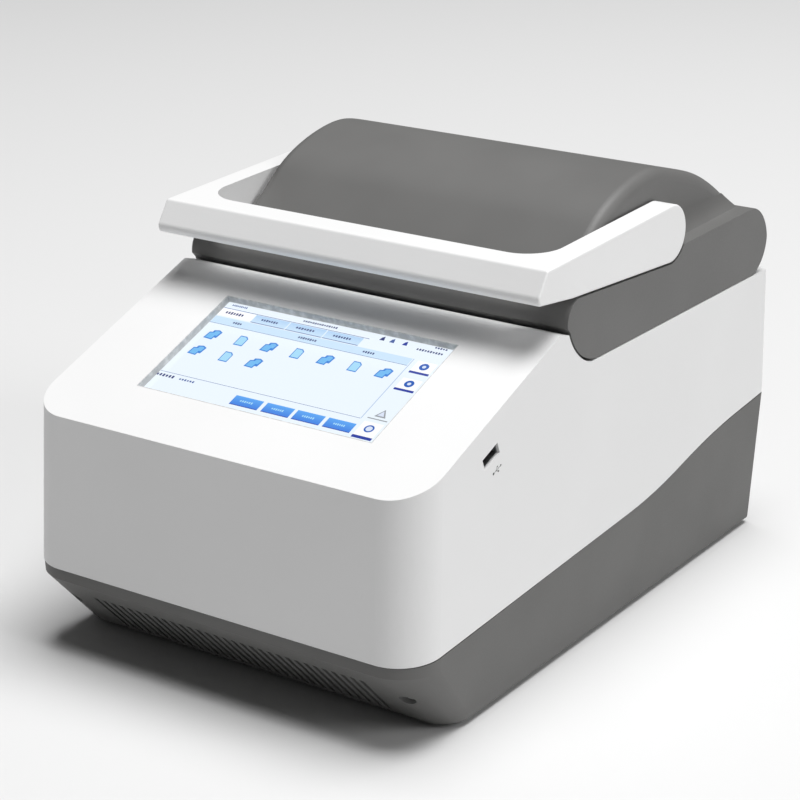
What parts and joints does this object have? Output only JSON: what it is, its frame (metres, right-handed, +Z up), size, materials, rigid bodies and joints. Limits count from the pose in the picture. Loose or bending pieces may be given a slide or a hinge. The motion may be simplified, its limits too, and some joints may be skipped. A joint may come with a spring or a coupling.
{
  "type": "thermal cycler",
  "caption": "Bench thermal cycler with a sloping touch-screen deck, a domed hinged lid with a lifting bail handle and a heated cover, and a rear fan panel.",
  "frame": {"origin": "on the bench, under the middle of the housing", "axes": "+X to the operator's right, +Y to the rear, +Z up"},
  "size_m": [0.265, 0.398, 0.2575],
  "materials": {
    "white_plastic": "satin moulded plastic",
    "handle_plastic": "satin moulded plastic",
    "dark_plastic": "fine-textured moulded plastic",
    "lid_plastic": "fine-textured moulded plastic",
    "black_plastic": "moulded",
    "steel": "zinc plated",
    "aluminium": "machined",
    "rubber": "matte",
    "silicone": "soft silicone",
    "ceramic": "alumina",
    "circuit": "solder-masked laminate",
    "screen_glass": "lit touch screen",
    "contact_brass": "plated contact",
    "foil": "polyimide heater foil"
  },
  "bodies": {
    "base": {"air_duct": "black_plastic", "base_tray": "dark_plastic", "block_screws": "steel", "block_seal": "silicone", "block_surround": "dark_plastic", "board_components": "black_plastic", "board_standoffs": "contact_brass", "case_screws": "steel", "catch_balls": "steel", "catch_receivers": "black_plastic", "chassis_plate": "steel", "chassis_screws": "steel", "control_board": "circuit", "display_bracket": "steel", "display_gasket": "rubber", "display_panel": "black_plastic", "driver_board": "circuit", "driver_transistors": "black_plastic", "fan_frame": "black_plastic", "fan_screws": "steel", "feet": "rubber", "heat_sink": "aluminium", "hinge_brackets": "steel", "hinge_pins": "steel", "inlet_pins": "contact_brass", "network_socket": "black_plastic", "panel_screws": "steel", "peltier_modules": "ceramic", "power_inlet": "black_plastic", "power_supply": "steel", "rear_panel": "steel", "sample_block": "aluminium", "switch_housing": "black_plastic", "top_cover": "white_plastic", "touch_glass": "screen_glass", "usb_shell": "steel", "usb_tongue": "black_plastic"},
    "lid": {"lid_shell": "lid_plastic", "lid_liner": "dark_plastic", "spring_frame": "steel", "guide_posts": "steel", "pressure_springs": "steel", "lid_knuckles": "aluminium", "liner_screws": "steel", "catch_tongues": "steel"},
    "handle": {"handle_bail": "handle_plastic", "handle_shafts": "steel", "pressure_cams": "black_plastic"},
    "plate_stack": {"heated_plate": "aluminium", "plate_heater": "foil", "plate_carrier": "aluminium"},
    "fan_wheel": {"fan_rotor": "black_plastic"},
    "rocker": {"power_rocker": "black_plastic"},
    "fuse_tray": {"fuse_drawer": "black_plastic", "fuses": "contact_brass"}
  },
  "joints": [
    {"name": "lid_hinge", "type": "hinge", "parent": "base", "child": "lid", "pos_m": [0, 0.1748, 0.1929], "axis": [-1, 0, 0], "range_deg": [0, 75]},
    {"name": "handle_lift", "type": "hinge", "parent": "lid", "child": "handle", "pos_m": [0, 0.0695, 0.223], "axis": [-1, 0, 0], "range_deg": [0, 40]},
    {"name": "plate_lift", "type": "slide", "parent": "lid", "child": "plate_stack", "axis": [0, 0, 1], "range_m": [0, 0.0062], "deforming": ["pressure_springs"]},
    {"name": "fan_spin", "type": "hinge", "parent": "base", "child": "fan_wheel", "pos_m": [-0.014, 0.18, 0.088], "axis": [0, 1, 0], "continuous": true},
    {"name": "power_switch", "type": "hinge", "parent": "base", "child": "rocker", "pos_m": [0.086, 0.1874, 0.112], "axis": [1, 0, 0], "range_deg": [-8, 8]},
    {"name": "fuse_slide", "type": "slide", "parent": "base", "child": "fuse_tray", "axis": [0, 1, 0], "range_m": [0, 0.016]}
  ],
  "couplings": [
    {"joint": "plate_lift", "follows": "handle_lift", "m_per_rad": 0.0088}
  ]
}
